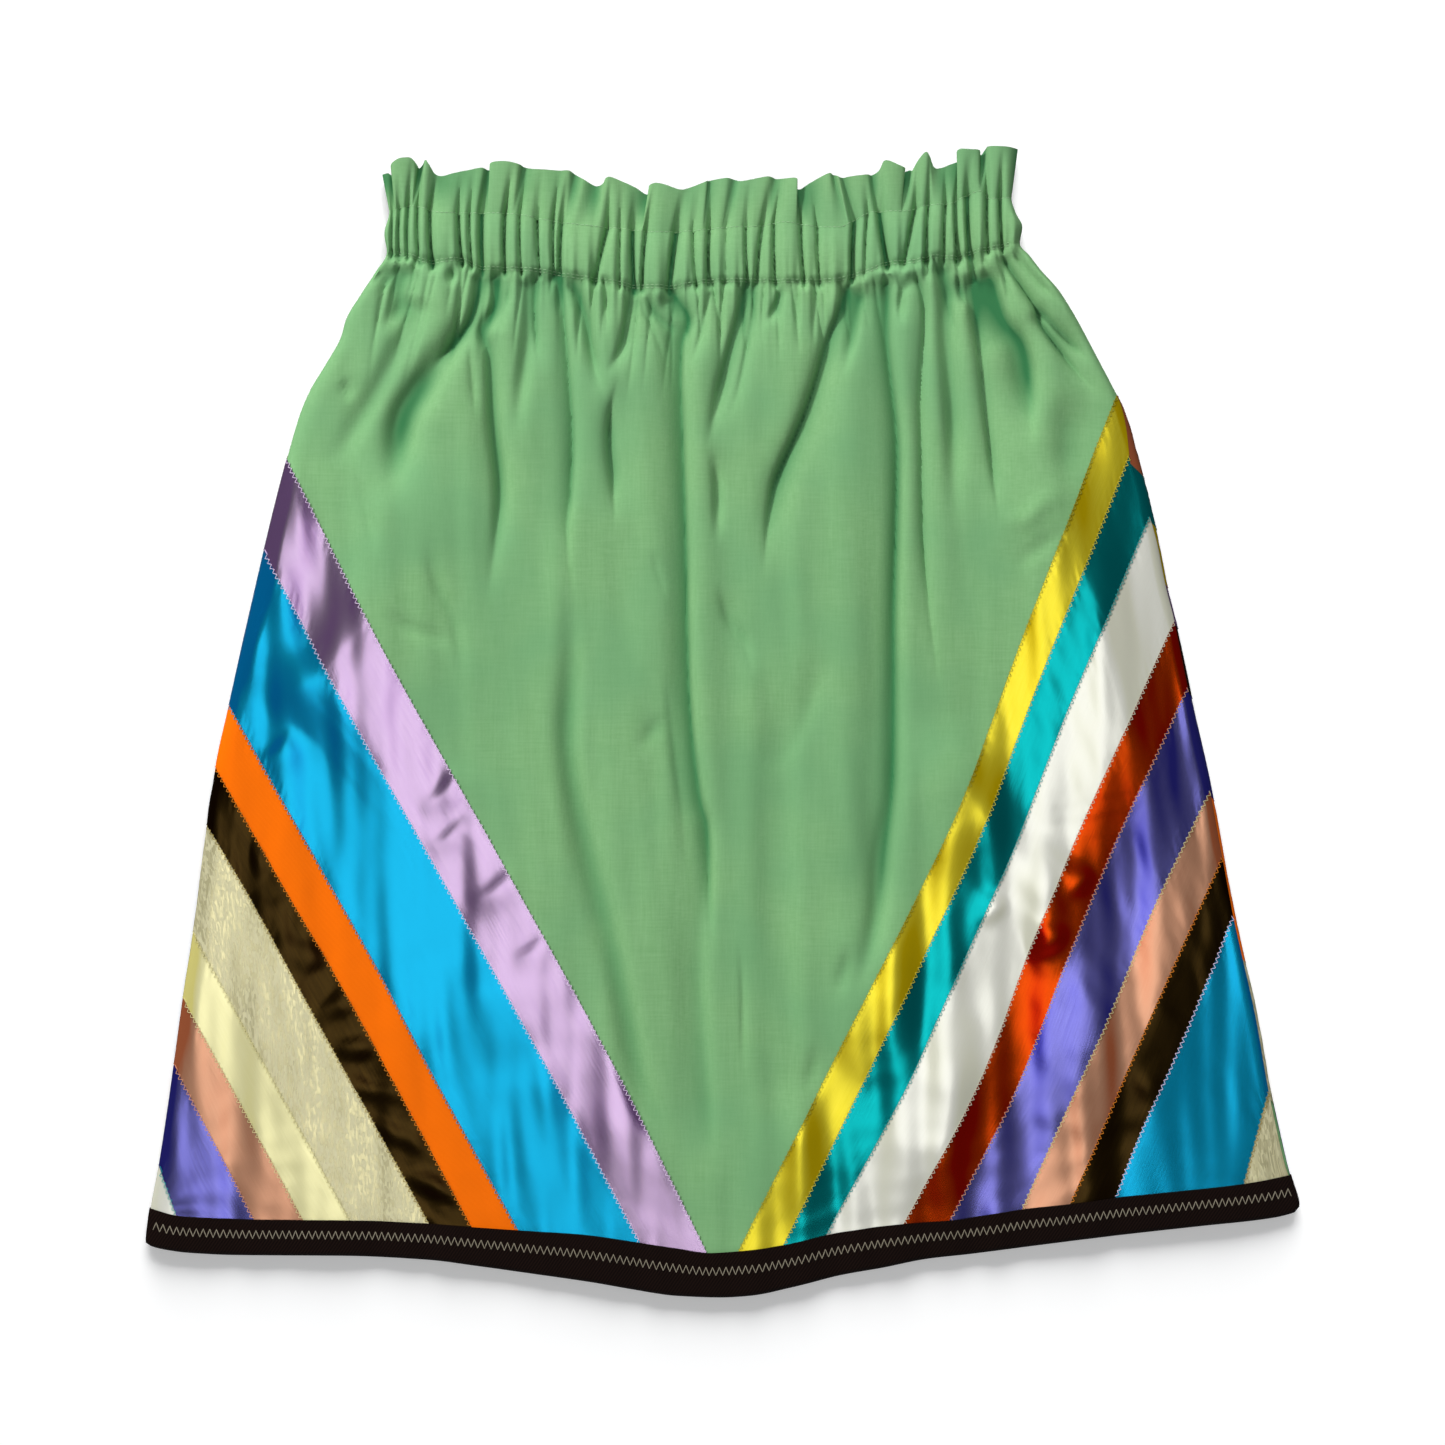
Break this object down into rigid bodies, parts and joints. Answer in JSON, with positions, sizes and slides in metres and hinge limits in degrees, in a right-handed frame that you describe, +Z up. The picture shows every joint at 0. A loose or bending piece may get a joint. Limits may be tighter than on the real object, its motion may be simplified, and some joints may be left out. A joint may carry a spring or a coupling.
{
  "type": "ribbon skirt",
  "caption": "A-line cotton ribbon skirt laid flat, with diagonal satin ribbons, a gathered elastic waist with a ruffle, and a dark hem tape.",
  "frame": {"origin": "on the surface that the skirt lies on, under the middle of its outline", "axes": "+X to the viewer's right across the skirt, +Y from the hem to the waist, +Z up from the surface, out of the front"},
  "size_m": [0.6905, 0.6903, 0.0115],
  "materials": {
    "green_cotton": "plain woven cotton, soft and matt",
    "dark_tape": "brown-black woven hem tape with a grey zigzag stitch",
    "lilac_satin": "satin ribbon",
    "blue_satin": "satin ribbon",
    "orange_matte": "matt woven ribbon",
    "brown_satin": "crumpled satin ribbon",
    "gold_lame": "glittering metallic ribbon",
    "cream_satin": "satin ribbon",
    "peach_satin": "satin ribbon",
    "periwinkle_satin": "satin ribbon",
    "ivory_satin": "satin ribbon",
    "yellow_satin": "satin ribbon",
    "teal_satin": "satin ribbon",
    "rust_satin": "satin ribbon"
  },
  "bodies": {
    "root": {"back_panel": "green_cotton", "casing_back": "green_cotton", "casing_front": "green_cotton", "front_panel": "green_cotton", "hem_tape_back": "dark_tape", "hem_tape_front": "dark_tape", "ribbon_back_l1_cream": "cream_satin", "ribbon_back_l2_teal": "teal_satin", "ribbon_back_l3_rust": "rust_satin", "ribbon_back_l4_lilac": "lilac_satin", "ribbon_back_l5_brown": "brown_satin", "ribbon_back_l6_yellow": "yellow_satin", "ribbon_back_l7_blue": "blue_satin", "ribbon_back_l8_peach": "peach_satin", "ribbon_back_l9_gold": "gold_lame", "ribbon_back_r1_peach": "peach_satin", "ribbon_back_r2_teal": "teal_satin", "ribbon_back_r3_yellow": "yellow_satin", "ribbon_back_r4_lilac": "lilac_satin", "ribbon_back_r5_brown": "brown_satin", "ribbon_back_r6_periwinkle": "periwinkle_satin", "ribbon_back_r7_orange": "orange_matte", "ribbon_back_r8_gold": "gold_lame", "ribbon_back_r9_blue": "blue_satin", "ribbon_front_l1_lilac": "lilac_satin", "ribbon_front_l2_blue": "blue_satin", "ribbon_front_l3_orange": "orange_matte", "ribbon_front_l4_brown": "brown_satin", "ribbon_front_l5_gold": "gold_lame", "ribbon_front_l6_cream": "cream_satin", "ribbon_front_l7_peach": "peach_satin", "ribbon_front_l8_periwinkle": "periwinkle_satin", "ribbon_front_l9_white": "ivory_satin", "ribbon_front_r1_yellow": "yellow_satin", "ribbon_front_r2_teal": "teal_satin", "ribbon_front_r3_ivory": "ivory_satin", "ribbon_front_r4_rust": "rust_satin", "ribbon_front_r5_periwinkle": "periwinkle_satin", "ribbon_front_r6_peach": "peach_satin", "ribbon_front_r7_brown": "brown_satin", "ribbon_front_r8_blue": "blue_satin", "ribbon_front_r9_gold": "gold_lame", "ruffle_back": "green_cotton", "ruffle_front": "green_cotton"}
  },
  "joints": []
}
